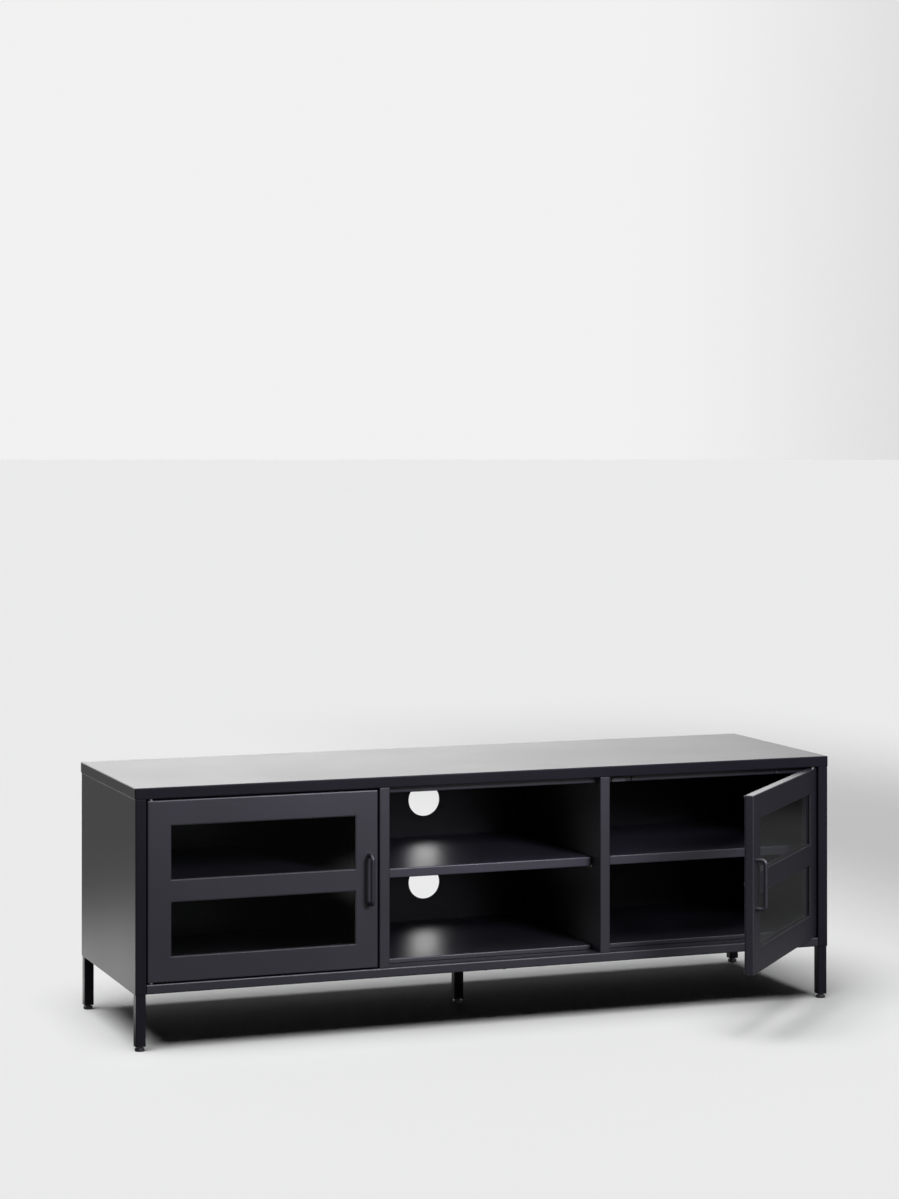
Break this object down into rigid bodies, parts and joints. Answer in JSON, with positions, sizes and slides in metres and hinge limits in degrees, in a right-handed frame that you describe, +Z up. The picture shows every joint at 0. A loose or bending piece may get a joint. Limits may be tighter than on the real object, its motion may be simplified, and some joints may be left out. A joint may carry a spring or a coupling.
{
  "type": "media cabinet",
  "caption": "Low steel media cabinet on square legs with levelling feet, hinged glass doors either side of an open bay, a shelf in every bay and cable holes in the back.",
  "frame": {"origin": "on the floor under the middle of the cabinet, at the underside of the centre glide", "axes": "+X to the cabinet's right as seen from the front, +Y to its back, +Z up"},
  "size_m": [1.5, 0.7942, 0.51],
  "materials": {
    "black_powder_coat": "satin powder coat",
    "clear_glass": "clear polished",
    "nickel_plate": "bright nickel",
    "black_screw": "black oxide",
    "black_nylon": "moulded",
    "black_rubber": "matt",
    "zinc_steel": "zinc plated"
  },
  "bodies": {
    "carcass": {"back_panel_centre": "black_powder_coat", "back_panel_left": "black_powder_coat", "back_panel_right": "black_powder_coat", "back_panel_screws": "black_screw", "base_screws": "black_screw", "base_tray": "black_powder_coat", "catch_left": "black_nylon", "catch_magnets": "black_nylon", "catch_right": "black_nylon", "centre_brace": "zinc_steel", "door_bumpers": "black_rubber", "floor_centre": "black_powder_coat", "floor_left": "black_powder_coat", "floor_right": "black_powder_coat", "header_centre": "black_powder_coat", "header_left": "black_powder_coat", "header_right": "black_powder_coat", "hinge_bushes": "black_nylon", "left_divider": "black_powder_coat", "left_side_liner": "black_powder_coat", "left_side_panel": "black_powder_coat", "leg_centre": "black_powder_coat", "leg_front_left": "black_powder_coat", "leg_front_right": "black_powder_coat", "leg_inserts": "black_nylon", "leg_rear_left": "black_powder_coat", "leg_rear_right": "black_powder_coat", "lid_screws": "black_screw", "lid_stiffener_left": "zinc_steel", "lid_stiffener_right": "zinc_steel", "right_divider": "black_powder_coat", "right_side_liner": "black_powder_coat", "right_side_panel": "black_powder_coat", "shelf_centre": "black_powder_coat", "shelf_left": "black_powder_coat", "shelf_pins": "black_screw", "shelf_right": "black_powder_coat", "shelf_sleeves": "nickel_plate", "top_panel": "black_powder_coat"},
    "left_door": {"left_door_back": "black_powder_coat", "left_door_frame": "black_powder_coat", "left_door_gasket": "black_rubber", "left_door_glass": "clear_glass", "left_door_handle": "black_powder_coat", "left_door_screws": "black_screw", "left_handle_screws": "black_screw", "left_hinge_pins": "nickel_plate"},
    "right_door": {"right_door_back": "black_powder_coat", "right_door_frame": "black_powder_coat", "right_door_gasket": "black_rubber", "right_door_glass": "clear_glass", "right_door_handle": "black_powder_coat", "right_door_screws": "black_screw", "right_handle_screws": "black_screw", "right_hinge_pins": "nickel_plate"},
    "glide_centre": {"glide_centre": "black_nylon"},
    "glide_front_left": {"glide_front_left": "black_nylon"},
    "glide_front_right": {"glide_front_right": "black_nylon"},
    "glide_rear_left": {"glide_rear_left": "black_nylon"},
    "glide_rear_right": {"glide_rear_right": "black_nylon"}
  },
  "joints": [
    {"name": "left_door_hinge", "type": "hinge", "parent": "carcass", "child": "left_door", "pos_m": [-0.717, -0.218, 0.308], "axis": [0, 0, -1], "range_deg": [0, 110]},
    {"name": "right_door_hinge", "type": "hinge", "parent": "carcass", "child": "right_door", "pos_m": [0.717, -0.218, 0.308], "axis": [0, 0, 1], "range_deg": [-47.5, 62.5]},
    {"name": "glide_centre_thread", "type": "slide", "parent": "carcass", "child": "glide_centre", "axis": [0, 0, -1], "range_m": [-0.0008, 0.008]},
    {"name": "glide_front_left_thread", "type": "slide", "parent": "carcass", "child": "glide_front_left", "axis": [0, 0, -1], "range_m": [-0.0008, 0.008]},
    {"name": "glide_front_right_thread", "type": "slide", "parent": "carcass", "child": "glide_front_right", "axis": [0, 0, -1], "range_m": [-0.0008, 0.008]},
    {"name": "glide_rear_left_thread", "type": "slide", "parent": "carcass", "child": "glide_rear_left", "axis": [0, 0, -1], "range_m": [-0.0008, 0.008]},
    {"name": "glide_rear_right_thread", "type": "slide", "parent": "carcass", "child": "glide_rear_right", "axis": [0, 0, -1], "range_m": [-0.0008, 0.008]}
  ]
}
